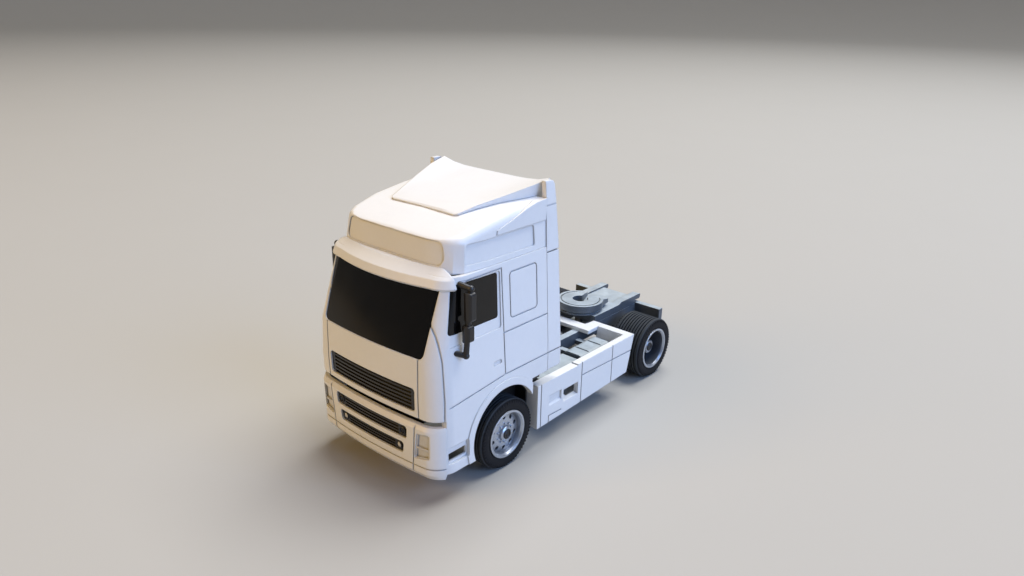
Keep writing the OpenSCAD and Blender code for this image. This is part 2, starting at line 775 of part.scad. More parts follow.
module chassis() {
    low = rail_top_z - rail_h;
    front_reach = tyre_face - front_tyre_w - 1.4;
    rear_reach = tyre_face - rear_tyre_w - 1.2;
    color(dark_grey) difference() {
        union() {
            both_sides() {
                side_slab(rail_in, rail_out) polygon([[rail_front, low], [skirt_end - 21.9, low],
                    [skirt_end - 7.9, low + 0.6], [rail_back, low + 0.6], [rail_back, rail_top_z],
                    [rail_front, rail_top_z]]);
                for (y = cab_mounts) box([rail_in, y - 1.5, low], [rail_out, y + 1.5, tub_z - fit_gap]);
            }
            for (y = cross_members) box([-rail_in - 0.2, y - 1.2, low + 0.6],
                [rail_in + 0.2, y + 1.2, rail_top_z - 0.6]);
            box([-rail_in - 0.2, rail_back - 3, low + 1], [rail_in + 0.2, rail_back, rail_top_z]);
            // Front beam behind the bumper
            intersection() {
                box([6.8 - half_belt, -front_overhang, low - 1.8],
                    [half_belt - 6.8, rail_front + 1.2, rail_top_z - 1.8]);
                bumper_form(wall + fit_gap, 6);
            }
            bearing(0, front_reach);
            bearing(wheelbase, rear_reach);
        }
        for (y = [0, wheelbase]) translate([0, y, axle_z]) rotate([0, 90, 0])
            cylinder(r = axle_r + axle_clearance, h = body_width, center = true);
    }
}

// Plate over the rear of the frame, with a ridge along each side that ends in a tip behind the frame
deck_front = skirt_end + 0.5;
ridge_w = 2.8;
ridge_l = 10.7;
ridge_h = 0.6;
module rear_deck() {
    low = rail_top_z + fit_gap;
    start = rail_back - ridge_l;
    color(dark_grey) {
        box([-rail_out, deck_front, low], [rail_out, rail_back, deck_z]);
        both_sides() side_slab(rail_out - ridge_w, rail_out)
            polygon([[start, deck_z - 0.4], [rear_end - 0.6, deck_z - 1.2], [rear_end, deck_z - 0.6],
                [rear_end, deck_z + ridge_h - 0.2], [rear_end - 0.6, deck_z + ridge_h],
                [start + 1.4, deck_z + ridge_h], [start, deck_z]]);
    }
}

plate_top = deck_z + fit_gap + 1.1 + plate_t;
module coupling_base() {
    z0 = deck_z + fit_gap;
    color(dark_grey) translate([0, pin_y, z0]) difference() {
        union() {
            cylinder(r = plate_r - 0.4, h = 0.5);
            cylinder(r = plate_r - 1.6, h = 1.1 - fit_gap);
        }
        translate([0, 0, -overcut]) cylinder(r = pin_r + 0.8, h = 4);
    }
}

throat_w = 2.4;
horn_l = 8.9;
module coupling_plate() {
    z0 = plate_top - plate_t;
    color(dark_grey) translate([0, pin_y, 0]) difference() {
        translate([0, 0, z0]) linear_extrude(height = plate_t) difference() {
            union() {
                circle(r = plate_r);
                polygon([[-plate_r + 0.6, 0], [plate_r - 0.6, 0], [5.6, horn_l], [-5.6, horn_l]]);
            }
            circle(r = pin_r);
            polygon([[-throat_w / 2, 0], [throat_w / 2, 0], [throat_w / 2, pin_r + 0.8], [3.6, horn_l + 1],
                [-3.6, horn_l + 1], [-throat_w / 2, pin_r + 0.8]]);
        }
        // Ramps down to the rear tips
        translate([-plate_r, 4.6, plate_top]) rotate([-14, 0, 0]) cube([2 * plate_r, 8, 3]);
        // Grease groove round the top
        translate([0, 0, plate_top - 0.3]) difference() {
            cylinder(r = plate_r - 1, h = 1);
            cylinder(r = plate_r - 1.4, h = 3, center = true);
        }
    }
}

// Side skirts: the outline of the wall in the side view, with a small step in the top edge
skirt_step_y = skirt_front + 19.1;
rear_slope = 3.2;
skirt_outline = [[skirt_front, skirt_low_z - 1.4], [skirt_step_y + 2, skirt_low_z - 0.8],
    [skirt_end - rear_slope, skirt_low_z], [skirt_end, skirt_top_z], [skirt_step_y, skirt_top_z],
    [skirt_step_y, skirt_top_z - 0.4], [skirt_front, skirt_top_z - 0.2]];
seam_ys = [skirt_front + 1.6, skirt_step_y + 2, skirt_end - 12.2];
flange_w = 2.4;
return_w = 4.4;
rear_wall_t = 2.9;

// Recesses with a sloped ledge below them:
// front and rear end behind the skirt's front, lower and upper edge, depth
recess_rows = [
    [12.2, 19.4, skirt_low_z + 2.7, skirt_low_z + 6.8, skirt_t + 1],
    [5.3, 11.2, skirt_low_z + 4, skirt_low_z + 7.4, 0.6]];
ledge_h = 0.7;

module skirt() {
    in = skirt_out - skirt_t;
    color(white) difference() {
        union() {
            side_slab(in, skirt_out) polygon(skirt_outline);
            // Top flanges, front return and rear wall
            side_slab(skirt_out - flange_w, skirt_out) polygon([[skirt_step_y, skirt_top_z - 1.2],
                [skirt_end - 0.4, skirt_top_z - 1.2], [skirt_end, skirt_top_z], [skirt_step_y, skirt_top_z]]);
            side_slab(skirt_out - flange_w - 0.5, skirt_out) polygon([[skirt_front, skirt_top_z - 1.4],
                [skirt_step_y, skirt_top_z - 1.6], [skirt_step_y, skirt_top_z - 0.4],
                [skirt_front, skirt_top_z - 0.2]]);
            box([skirt_out - return_w, skirt_front, skirt_low_z - 1.2],
                [skirt_out, skirt_front + 1.2, skirt_top_z - 0.4]);
            side_slab(bridge_half + fit_gap, skirt_out) polygon([
                [skirt_end - rear_slope - rear_wall_t, skirt_low_z],
                [skirt_end - rear_slope, skirt_low_z], [skirt_end, skirt_top_z],
                [skirt_end - rear_wall_t, skirt_top_z]]);
            // Ribs that rest on the tank and the box
            for (y = [box_y[0] + 6, tank_y[0] + 8]) box([tank_out + fit_gap, y - 0.6, tank_low + 2.2],
                [in + 0.2, y + 0.6, tank_low + 7.2]);
        }
        for (row = recess_rows) front_slab(skirt_front + row[0], skirt_front + row[1])
            polygon([[skirt_out - row[4], row[2] + ledge_h], [skirt_out + 0.1, row[2]],
                [skirt_out + 0.1, row[3]], [skirt_out - row[4], row[3]]]);
        // Panel lines and the long groove
        side_slab(skirt_out - groove_d, skirt_out + 1) {
            for (y = seam_ys) strip([y, skirt_low_z - 3], [y, skirt_top_z + 1]);
            strip([seam_ys[1], skirt_low_z + 8.3], [skirt_end, skirt_low_z + 7.3]);
            strip([skirt_front + 5.3, skirt_low_z + 0.9], [skirt_front + 11.2, skirt_low_z + 0.7]);
            strip([skirt_front + 5.3, skirt_low_z - 2], [skirt_front + 5.3, skirt_low_z + 0.9]);
        }
    }
}

// White strap over the rails that joins the two skirts, set forward in its middle
bridge_half = rail_out + 3.8;
bridge_l = 4;
bridge_jog = 4.4;
module skirt_bridge() {
    mid = skirt_end - bridge_jog;
    low = rail_top_z + fit_gap;
    color(white) translate([0, 0, low]) linear_extrude(height = skirt_top_z - low)
        polygon([[-bridge_half, mid - bridge_l], [bridge_half, mid - bridge_l], [bridge_half, skirt_end],
            [rail_out, skirt_end], [rail_out - 0.4, mid], [0.4 - rail_out, mid], [-rail_out, skirt_end],
            [-bridge_half, skirt_end]]);
}

// Tank and box beside the frame, each on two brackets
tank_in = rail_out + 3.2;
tank_out = skirt_out - 4.2;
tank_low = skirt_low_z + 0.3;
tank_high = rail_top_z - 1;
tank_r = min(2.6, (tank_out - tank_in) / 2 - 0.2);
tank_y = [skirt_end - 21.5, skirt_end - rear_slope - rear_wall_t - 0.3];
box_y = [skirt_front + 8.7, tank_y[0] - 0.8];
box_high = rail_top_z - 2;

module side_body(y0, y1, high, r) {
    front_slab(y0, y1) round_rect([tank_in, tank_low, tank_out, high], r);
    for (y = [y0 + 3, y1 - 3]) box([rail_out + fit_gap, y - 1, box_high - 1.8],
        [tank_in + r, y + 1, box_high - 0.4]);
}

module fuel_tank() {
    color(dark_grey) difference() {
        side_body(tank_y[0], tank_y[1], tank_high, tank_r);
        for (y = [tank_y[0] + 4.2, tank_y[1] - 4.2]) box([tank_in - 1, y - 0.5, tank_high - 0.25],
            [tank_out + 1, y + 0.5, tank_high + 1]);
    }
}

module side_box() {
    color(dark_grey) side_body(box_y[0], box_y[1], box_high, 1);
}

// Rear cross bar with a lamp cluster behind each twin wheel
bar_front = rail_back + 0.1;
bar_t = 2.2;
bar_half = half_belt - 6.4;
bar_z = [rail_top_z - 4.5, rail_top_z + 0.4];
lamp_x = [bar_half - 7.2, bar_half - 0.8];

module light_bar() {
    color(dark_grey) difference() {
        box([-bar_half, bar_front, bar_z[0]], [bar_half, bar_front + bar_t, bar_z[1]]);
        both_sides() box([lamp_x[0] - fit_gap, bar_front + bar_t - 0.6, bar_z[0] + 1.1 - fit_gap],
            [lamp_x[1] + fit_gap, bar_front + bar_t + 1, bar_z[1] - 1.1 + fit_gap]);
    }
}

module tail_lamps() {
    third = (lamp_x[1] - lamp_x[0]) / 3;
    color("red") both_sides() difference() {
        box([lamp_x[0], bar_front + bar_t - 0.6 + fit_gap, bar_z[0] + 1.1],
            [lamp_x[1], bar_front + bar_t + 0.4, bar_z[1] - 1.1]);
        for (k = [1, 2]) box([lamp_x[0] + third * k - 0.15, bar_front + bar_t, bar_z[0]],
            [lamp_x[0] + third * k + 0.15, bar_front + bar_t + 1, bar_z[1]]);
    }
}

module axle(reach) {
    color(silver) translate([0, 0, axle_z]) rotate([0, 90, 0])
        cylinder(r = axle_r, h = 2 * reach, center = true);
}

// A wheel piece drawn along +Z from the inner to the outer face of the tyre, moved to the left side
module at_left_wheel(y, width) {
    translate([tyre_face - width, y, axle_z]) rotate([0, 90, 0]) children();
}

// A tyre's section, with ribs between grooves round the tread
groove_depth = 0.5;
module tyre(width, grooves) {
    r = tyre_d / 2;
    rib = (width - 1.4) / (grooves + 1);
    tread = [for (k = [1 : grooves]) let (c = 0.7 + rib * k)
        each [[r, c - 0.2], [r - groove_depth, c - 0.14], [r - groove_depth, c + 0.14], [r, c + 0.2]]];
    color(black) rotate_extrude() polygon(concat(
        [[rim_r + fit_gap, 0.5], [rim_r + 0.9, 0.1], [r - 1.6, 0], [r - 0.45, 0.3], [r, 0.75]],
        tread,
        [[r, width - 0.75], [r - 0.45, width - 0.3], [r - 1.6, width], [rim_r + 0.9, width - 0.1],
            [rim_r + fit_gap, width - 0.5]]));
}

hand_holes = 10;
hole_r = 0.62;
// A rim with its disc set back from the outer face, a flange round the tyre and a hub
module rim(width, dish, hub_r, hub_out) {
    disc = width - dish;
    hole_ring = (rim_r + hub_r) / 2 + 0.2;
    color(silver) difference() {
        rotate_extrude() polygon([
            [0, disc - 2.4], [hub_r, disc - 2.4], [hub_r, disc - 1.2], [rim_r - 1, disc - 1.6],
            [rim_r - 1, 0.6], [rim_r, 0.4], [rim_r, width - 0.42],
            [rim_r + 0.25, width - 0.3], [rim_r + 0.25, width], [rim_r - 0.3, width + 0.1],
            [rim_r - 0.75, width - 0.5],
            [rim_r - 0.95, disc - 0.5], [hub_r + 1.1, disc], [hub_r, disc],
            [hub_r - 0.2, disc + hub_out - 0.3], [hub_r - 0.6, disc + hub_out], [0, disc + hub_out]]);
        for (k = [0 : hand_holes - 1]) rotate(360 * k / hand_holes)
            translate([hole_ring, 0, disc - 3]) cylinder(r = hole_r, h = 6);
        // Blind seat for the axle rod
        translate([0, 0, disc - 3]) cylinder(r = axle_r + fit_gap / 2, h = 2.4);
    }
}

front_seat = tyre_face - front_dish - 0.7;
rear_seat = tyre_face - rear_dish - 0.7;
module front_rim() { at_left_wheel(0, front_tyre_w) rim(front_tyre_w, front_dish, 2.3, 1); }
module rear_rim() { at_left_wheel(wheelbase, rear_tyre_w) rim(rear_tyre_w, rear_dish, 2.6, 3.2); }
module front_tyre() { at_left_wheel(0, front_tyre_w) tyre(front_tyre_w, 4); }
module rear_tyre() { at_left_wheel(wheelbase, rear_tyre_w) tyre(rear_tyre_w, 9); }

module left(name) {
    translate([0, front_axle_y, 0]) children();
}

module right(name) {
    left(name) mirror([1, 0, 0]) children();
}

left("cab_shell") cab_shell();
left("roof_cap") roof_cap();
left("sun_visor") sun_visor();
left("roof_deflector") roof_deflector();
left("side_fairing_left") side_fairing();
right("side_fairing_right") side_fairing();
left("upper_grille") upper_grille();
left("bumper") bumper();
left("lower_grille") lower_grille();
left("head_lamp_left") head_lamp();
right("head_lamp_right") head_lamp();
left("windscreen") windscreen();
left("side_glass_left") side_glass();
right("side_glass_right") side_glass();
left("mirror_arm_left") mirror_arm();
right("mirror_arm_right") mirror_arm();
left("mirror_glass_left") mirror_glass();
right("mirror_glass_right") mirror_glass();
left("cab_tub") cab_tub();
left("seats") seats();
left("dashboard") dashboard();
left("steering_wheel") steering_wheel();
left("chassis") chassis();
left("rear_deck") rear_deck();
left("coupling_base") coupling_base();
left("coupling_plate") coupling_plate();
left("skirt_left") skirt();
right("skirt_right") skirt();
left("skirt_bridge") skirt_bridge();
left("fuel_tank_left") fuel_tank();
right("fuel_tank_right") fuel_tank();
left("side_box_left") side_box();
right("side_box_right") side_box();
left("light_bar") light_bar();
left("tail_lamps") tail_lamps();
left("front_axle") axle(front_seat);
left("rear_axle") translate([0, wheelbase, 0]) axle(rear_seat);
left("front_rim_left") front_rim();
right("front_rim_right") front_rim();
left("front_tyre_left") front_tyre();
right("front_tyre_right") front_tyre();
left("rear_rim_left") rear_rim();
right("rear_rim_right") rear_rim();
left("rear_tyre_left") rear_tyre();
right("rear_tyre_right") rear_tyre();
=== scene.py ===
import json
import math

import bmesh
import bpy
from mathutils import Matrix, Vector
from mathutils.bvhtree import BVHTree


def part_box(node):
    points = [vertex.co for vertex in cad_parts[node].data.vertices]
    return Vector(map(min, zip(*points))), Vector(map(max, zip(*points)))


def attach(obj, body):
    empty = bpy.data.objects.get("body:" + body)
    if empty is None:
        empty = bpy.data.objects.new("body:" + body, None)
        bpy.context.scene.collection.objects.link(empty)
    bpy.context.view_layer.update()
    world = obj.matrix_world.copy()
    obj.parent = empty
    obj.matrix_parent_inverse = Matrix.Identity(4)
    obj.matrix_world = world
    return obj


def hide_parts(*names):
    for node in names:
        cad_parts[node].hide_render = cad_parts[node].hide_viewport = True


mm = 0.001
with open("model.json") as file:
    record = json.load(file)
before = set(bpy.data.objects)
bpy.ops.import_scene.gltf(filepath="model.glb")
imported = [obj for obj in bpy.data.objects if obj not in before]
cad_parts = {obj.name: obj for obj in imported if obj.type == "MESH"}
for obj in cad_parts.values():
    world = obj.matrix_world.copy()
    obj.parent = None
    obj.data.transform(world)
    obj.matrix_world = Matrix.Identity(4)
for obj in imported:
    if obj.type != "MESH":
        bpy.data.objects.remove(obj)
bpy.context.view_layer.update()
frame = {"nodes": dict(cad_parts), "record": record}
record = frame["record"]
nodeBody = {node: body for body, nodes in record["behaviour"]["bodies"].items() for node in nodes}
nodeSlot = {part["node"]: part["material_slot"] for part in record["subparts"]}
print("frame loaded:", len(nodeBody), "nodes")

# Wheel centres and tyre radius, as in the CAD
frontAxle = Vector((0, -30.9, 10.4)) * mm
rearAxle = Vector((0, 45.6, 10.4)) * mm
tyreR = 10.4 * mm

# Camera where the photograph was taken from, in millimetres
cameraSetup = {"eye": (150.1, -177.0, 127.7), "target": (0.39, -2.66, 39.72), "rollDeg": 1.14,
               "lens": 28.125, "sensor": 36, "near": 5}


def placeCamera(setup):
    eye = Vector(setup["eye"]) * mm
    back = (eye - Vector(setup["target"]) * mm).normalized()
    side = Vector((-back.y, back.x, 0)).normalized()
    up = back.cross(side)
    roll = math.radians(setup["rollDeg"])
    right = side * math.cos(roll) + up * math.sin(roll)
    data = bpy.data.cameras.new("camera")
    data.lens = setup["lens"]
    data.sensor_width = setup["sensor"]
    data.clip_start = setup["near"] * mm
    camera = bpy.data.objects.new("camera", data)
    turn = Matrix((right, back.cross(right), back)).transposed()
    camera.matrix_world = Matrix.Translation(eye) @ turn.to_4x4()
    bpy.context.collection.objects.link(camera)
    bpy.context.scene.camera = camera


placeCamera(cameraSetup)


# One socket of a node tree, so that shader maths reads as plain maths
class Wire:
    def __init__(self, bench, socket):
        self.bench = bench
        self.socket = socket

    def __add__(self, other):
        return self.bench.maths("ADD", self, other)

    def __sub__(self, other):
        return self.bench.maths("SUBTRACT", self, other)

    def __mul__(self, other):
        return self.bench.maths("MULTIPLY", self, other)

    def __truediv__(self, other):
        return self.bench.maths("DIVIDE", self, other)

    def __pow__(self, other):
        return self.bench.maths("POWER", self, other)

    def __radd__(self, other):
        return self.bench.maths("ADD", other, self)

    def __rsub__(self, other):
        return self.bench.maths("SUBTRACT", other, self)

    def __gt__(self, other):
        return self.bench.maths("GREATER_THAN", self, other)


# A node tree under construction, for a finish or for a repeated shape
class Bench:
    def __init__(self, tree):
        self.tree = tree

    def node(self, kind, settings=None, sockets=None, out=0):
        made = self.tree.nodes.new(kind)
        for key, value in (settings or {}).items():
            setattr(made, key, value)
        for key, value in (sockets or {}).items():
            target = made.inputs[key]
            if isinstance(value, Wire):
                self.tree.links.new(value.socket, target)
            elif isinstance(value, list):  # several wires into one socket
                for one in value:
                    self.tree.links.new(one.socket, target)
            else:
                target.default_value = value
        return Wire(self, made.outputs[out] if len(made.outputs) else None)

    def maths(self, operation, *values):
        return self.node("ShaderNodeMath", {"operation": operation}, dict(enumerate(values)))

    def axis(self, vector, k):
        return self.node("ShaderNodeSeparateXYZ", None, {0: vector}, k)

    def mix(self, factor, a, b):
        return self.node("ShaderNodeMix", {"data_type": "RGBA"}, {0: factor, 6: a, 7: b}, 2)

    def noise(self, place, size, detail=3, rough=0.5):
        return self.node("ShaderNodeTexNoise", None,
                         {"Vector": place, "Scale": 1 / (size * mm), "Detail": detail, "Roughness": rough})


# A colour with its alpha, darkened by a share if need be
def rgb(shade, share=1.0):
    return (*(c * share for c in shade), 1)


# Starts a finish and hands back its bench and its place on the object
def startFinish(name):
    material = bpy.data.materials.new(name)
    material.use_nodes = True
    material.node_tree.nodes.clear()
    bench = Bench(material.node_tree)
    place = bench.node("ShaderNodeTexCoord", None, None, 3)
    return material, bench, place


# Soft edges on a sharp solid, with a fine bump on top
def softNormal(bench, height, strength, depth, edge):
    rounded = bench.node("ShaderNodeBevel", {"samples": 6}, {"Radius": edge * mm})
    return bench.node("ShaderNodeBump", None,
                      {"Strength": strength, "Distance": depth * mm, "Height": height, "Normal": rounded})


def endFinish(bench, sockets):
    surface = bench.node("ShaderNodeBsdfPrincipled", None, sockets)
    bench.node("ShaderNodeOutputMaterial", None, {"Surface": surface})


# How much a point is tucked into a seam or a corner, from 0 to 1, used to paint shade into a colour there
def tucked(bench, reach):
    return 1 - bench.node("ShaderNodeAmbientOcclusion", {"samples": 8, "only_local": True},
                          {"Distance": reach * mm}, 1)


# A level that wanders by a spread with a noise
def around(level, noise, spread):
    return level + (noise - 0.5) * spread


# Painted shade: the dark blue-grey that seams and corners are darkened towards, how far it reaches, how
# steeply it falls and how strong it is
plasticLook = {"light": (0.8, 0.8, 0.79), "shade": (0.71, 0.715, 0.72), "seam": (0.12, 0.125, 0.14),
               "seamReach": 0.6, "seamFall": 1.6, "seamShare": 0.85, "rough": 0.38, "coat": 0.12, "edge": 0.4,
               "cloudSize": 9, "speckSize": 1.4, "grainSize": 0.45}


def whitePlastic(look):
    material, bench, place = startFinish("whitePlastic")
    cloud = bench.noise(place, look["cloudSize"], 4, 0.6)
    speck = bench.noise(place, look["speckSize"], 3, 0.65)
    grain = bench.noise(place, look["grainSize"], 2)
    base = bench.mix(cloud * 0.6 + speck * 0.4, rgb(look["light"]), rgb(look["shade"]))
    # Painted shade: seams and corners darkened by how tucked they are
    seam = tucked(bench, look["seamReach"]) ** look["seamFall"] * look["seamShare"]
    base = bench.mix(seam, base, rgb(look["seam"]))
    endFinish(bench, {"Base Color": base, "Roughness": around(look["rough"], speck, 0.14),
                      "Coat Weight": look["coat"], "Coat Roughness": 0.2, "Specular IOR Level": 0.5,
                      "Normal": softNormal(bench, grain, 0.16, 0.03, look["edge"])})
    return material


glassLook = {"tint": (0.002, 0.002, 0.0025), "film": (0.006, 0.0055, 0.005), "rough": 0.06, "alpha": 0.97,
             "smearSize": 5, "waveSize": 3}


def darkGlass(look):
    material, bench, place = startFinish("darkGlass")
    smear = bench.noise(place, look["smearSize"], 4, 0.6)
    wave = bench.noise(place, look["waveSize"], 2)
    base = bench.mix(smear, rgb(look["tint"]), rgb(look["film"]))
    endFinish(bench, {"Base Color": base, "Roughness": look["rough"] + smear * 0.08, "Coat Weight": 0.1,
                      "Coat Roughness": 0.05, "Alpha": look["alpha"], "Specular IOR Level": 0.3,
                      "Normal": softNormal(bench, wave, 0.05, 0.03, 0.15)})
    return material


# Painted shade: how far and how strongly seams and corners are darkened, and how dark they go
darkLook = {"cloudSize": 4, "grainSize": 0.22, "seamReach": 0.6, "seamShare": 0.7, "seamTone": 0.3}
# Faces that look up are painted paler: on the chassis a pale blue painted highlight from above, on the trim
# only a little paler
paintedTopLightOnChassis = {"tint": (0.68, 0.77, 0.82), "share": 0.9}
paleTopOnTrim = {"tint": (0.16, 0.16, 0.17), "share": 0.15}


# Dark moulded plastic, paler on what faces up and with painted shade in its seams and corners; on the chassis
# the pale tops are a painted highlight from above
def darkPlastic(name, tint, worn, dustAndSheen, rough, edge):
    material, bench, place = startFinish(name)
    cloud = bench.noise(place, darkLook["cloudSize"], 4, 0.6)
    grain = bench.noise(place, darkLook["grainSize"], 2)
    base = bench.mix(cloud, rgb(tint), rgb(worn))
    facing = bench.axis(bench.node("ShaderNodeNewGeometry", None, None, 1), 2)
    # Faces that look up are painted paler, a painted highlight on the chassis
    paleOnTop = bench.maths("MAXIMUM", facing, 0.0) * (cloud * 0.5 + 0.3)
    base = bench.mix(paleOnTop * dustAndSheen["share"], base, rgb(dustAndSheen["tint"]))
    # Painted shade in seams and corners
    seam = tucked(bench, darkLook["seamReach"]) * darkLook["seamShare"]
    base = bench.mix(seam, base, rgb(tint, darkLook["seamTone"]))
    endFinish(bench, {"Base Color": base, "Roughness": around(rough, cloud, 0.16),
                      "Normal": softNormal(bench, grain, 0.22, 0.025, edge)})
    return material


# Painted shade: the near-black that depths are darkened towards
silverLook = {"bright": (0.58, 0.62, 0.68), "dull": (0.4, 0.44, 0.5), "depthShade": (0.03, 0.034, 0.045),
              "flakeSize": 0.12, "cloudSize": 2.4}


# Metallic paint with painted shade in its depths, as far as it reaches and as steep as it falls
def silverPaint(name, metallic, rough, reach=0.9, fall=1.1):
    material, bench, place = startFinish(name)
    flake = bench.noise(place, silverLook["flakeSize"], 1)
    cloud = bench.noise(place, silverLook["cloudSize"], 4, 0.6)
    base = bench.mix(cloud, rgb(silverLook["bright"]), rgb(silverLook["dull"]))
    # Painted shade in the depths
    base = bench.mix(tucked(bench, reach) ** fall, base, rgb(silverLook["depthShade"]))
    endFinish(bench, {"Base Color": base, "Metallic": metallic, "Roughness": around(rough, flake, 0.16),
                      "Normal": softNormal(bench, flake, 0.12, 0.015, 0.18)})
    return material


# Painted shade: the near-black that the tyre's seams and corners are darkened towards, with its reach and
# share
tyreLook = {"tint": (0.006, 0.006, 0.007), "scuff": (0.02, 0.02, 0.022), "tread": (0.05, 0.056, 0.062),
            "seam": (0.003, 0.003, 0.004), "seamReach": 0.5, "seamShare": 0.8, "treadDepth": 0.25,
            "rings": 1.35, "sipes": 84, "grainSize": 0.3, "dustSize": 2.2}


# Rubber with moulded rings on the side walls and fine cuts across the tread
def tyreRubber(name, axle, look):
    material, bench, place = startFinish(name)
    part = bench.node("ShaderNodeMapping", None, {0: place, 1: (0, -axle.y, -axle.z)})
    y = bench.axis(part, 1)
    z = bench.axis(part, 2)
    radius = bench.maths("SQRT", y * y + z * z)
    ring = bench.maths("SINE", radius * (math.tau * look["rings"] / mm))
    cut = bench.maths("SINE", bench.maths("ARCTAN2", z, y) * look["sipes"])
    onTread = radius > (tyreR - look["treadDepth"] * mm)
    grain = bench.noise(place, look["grainSize"], 2)
    dustAndSheen = bench.noise(place, look["dustSize"], 4, 0.65)
    height = grain * 0.4 + (1 - onTread) * (ring > 0.75) * 0.7 + onTread * (cut > 0.9) * -1.2
    base = bench.mix(dustAndSheen, rgb(look["tint"]), rgb(look["scuff"]))
    base = bench.mix(onTread * (dustAndSheen * 0.4 + 0.6), base, rgb(look["tread"]))  # worn tread is paler
    # Painted shade in seams and corners
    base = bench.mix(tucked(bench, look["seamReach"]) * look["seamShare"], base, rgb(look["seam"]))
    endFinish(bench, {"Base Color": base, "Roughness": 0.5 + dustAndSheen * 0.2, "Specular IOR Level": 0.15,
                      "Normal": softNormal(bench, height, 0.5, 0.08, 0.15)})
    return material


# Painted shade: how far and how strongly the lens's seams and corners are darkened, and how dark they go
lensLook = {"ribStep": 0.7, "cloudSize": 2, "seamReach": 0.6, "seamShare": 0.8, "seamTone": 0.3}


# Ribbed lamp lens under a clear coat
def lampLens(name, tint, deep, coat):
    material, bench, place = startFinish(name)
    rib = bench.maths("SINE", bench.axis(place, 0) * (math.tau / (lensLook["ribStep"] * mm)))
    cloud = bench.noise(place, lensLook["cloudSize"], 3)
    base = bench.mix(cloud, rgb(tint), rgb(deep))
    # Painted shade in seams and corners
    seam = tucked(bench, lensLook["seamReach"]) * lensLook["seamShare"]
    base = bench.mix(seam, base, rgb(deep, lensLook["seamTone"]))
    endFinish(bench, {"Base Color": base, "Roughness": 0.16 + cloud * 0.1, "Coat Weight": coat,
                      "Coat Roughness": 0.05, "Normal": softNormal(bench, rib, 0.3, 0.04, 0.2)})
    return material


finishes = {
    "body_white": whitePlastic(plasticLook),
    "trim_black": darkPlastic("satinBlack", (0.007, 0.007, 0.008), (0.018, 0.017, 0.017), paleTopOnTrim,
                              rough=0.34, edge=0.2),
    "glazing": darkGlass(glassLook),
    "seat_grey": darkPlastic("dullGrey", (0.06, 0.06, 0.066), (0.1, 0.1, 0.11), paleTopOnTrim,
                             rough=0.65, edge=0.5),
    "chassis_grey": darkPlastic("chassisGrey", (0.055, 0.066, 0.08), (0.1, 0.118, 0.138), paintedTopLightOnChassis,
                                rough=0.36, edge=0.3),
    "lamp_clear": lampLens("clearLens", (0.66, 0.65, 0.62), (0.5, 0.49, 0.47), coat=0.5),
    "lamp_red": lampLens("redLens", (0.42, 0.015, 0.012), (0.2, 0.006, 0.006), coat=0.8),
    "mirror_silver": silverPaint("mirrorFoil", metallic=1.0, rough=0.08),
    "axle_steel": silverPaint("axleSteel", metallic=1.0, rough=0.3),
    "rim_silver": silverPaint("rimSilver", metallic=0.75, rough=0.3, reach=2.6),
    # The rear rims have deeper painted shade in their dish
    "rim_rear": silverPaint("rearRimSilver", metallic=0.75, rough=0.3, reach=6.0, fall=0.5),  # deep dark dish
    "tyre_front": tyreRubber("frontRubber", frontAxle, tyreLook),
    "tyre_rear": tyreRubber("rearRubber", rearAxle, tyreLook),
}
print("finishes made:", len(finishes))


# Puts a finished mesh in the scene on its body
def addPiece(name, mesh, body, finish):
    piece = bpy.data.objects.new(name, mesh)
    bpy.context.collection.objects.link(piece)
    mesh.materials.clear()
    mesh.materials.append(finish)
    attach(piece, body)
    return piece


dressLook = {"weld": 0.002, "flatDeg": 0.4, "sharpDeg": 26}


# A clean copy of a CAD piece: joined triangles, smooth curves and crisp edges
def dressCopy(node, finish, look):
    bm = bmesh.new()
    bm.from_mesh(frame["nodes"][node].data)
    for layer in list(bm.loops.layers.uv):
        bm.loops.layers.uv.remove(layer)
    bmesh.ops.remove_doubles(bm, verts=bm.verts, dist=look["weld"] * mm)
    bmesh.ops.dissolve_limit(bm, angle_limit=math.radians(look["flatDeg"]), verts=bm.verts, edges=bm.edges)
    for face in bm.faces:
        face.smooth = True
        face.material_index = 0
    limit = math.radians(look["sharpDeg"])
    for edge in bm.edges:
        edge.smooth = edge.is_manifold and edge.calc_face_angle(0) < limit
    mesh = bpy.data.meshes.new(node + ".dressed")
    bm.to_mesh(mesh)
    bm.free()
    if "custom_normal" in mesh.attributes:
        mesh.attributes.remove(mesh.attributes["custom_normal"])
    piece = addPiece(node + ".dressed", mesh, nodeBody[node], finish)
    smooth = piece.modifiers.new("evenNormals", "WEIGHTED_NORMAL")
    smooth.keep_sharp = True
    smooth.weight = 100
    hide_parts(node)


for node in sorted(nodeBody):
    slot = nodeSlot[node]
    if slot == "tyre_black":
        slot = "tyre_front" if node.startswith("front") else "tyre_rear"
    elif slot == "rim_silver" and node.startswith("rear"):
        slot = "rim_rear"
    dressCopy(node, finishes[slot], dressLook)
print("pieces dressed")

outside = 0.2  # metres from the middle, past every piece


# Where a CAD piece is met by a straight look from a point outside it
def surfaceOf(node, start, way):
    mesh = frame["nodes"][node].data
    tree = BVHTree.FromPolygons([v.co for v in mesh.vertices], [list(p.vertices) for p in mesh.polygons])
    return tree.ray_cast(Vector(start), Vector(way))[0]


def seatX(node, y, z):
    return surfaceOf(node, (outside, y, z), (-1, 0, 0)).x


def seatFront(node, x, z):
    return surfaceOf(node, (x, -outside, z), (0, 1, 0)).y


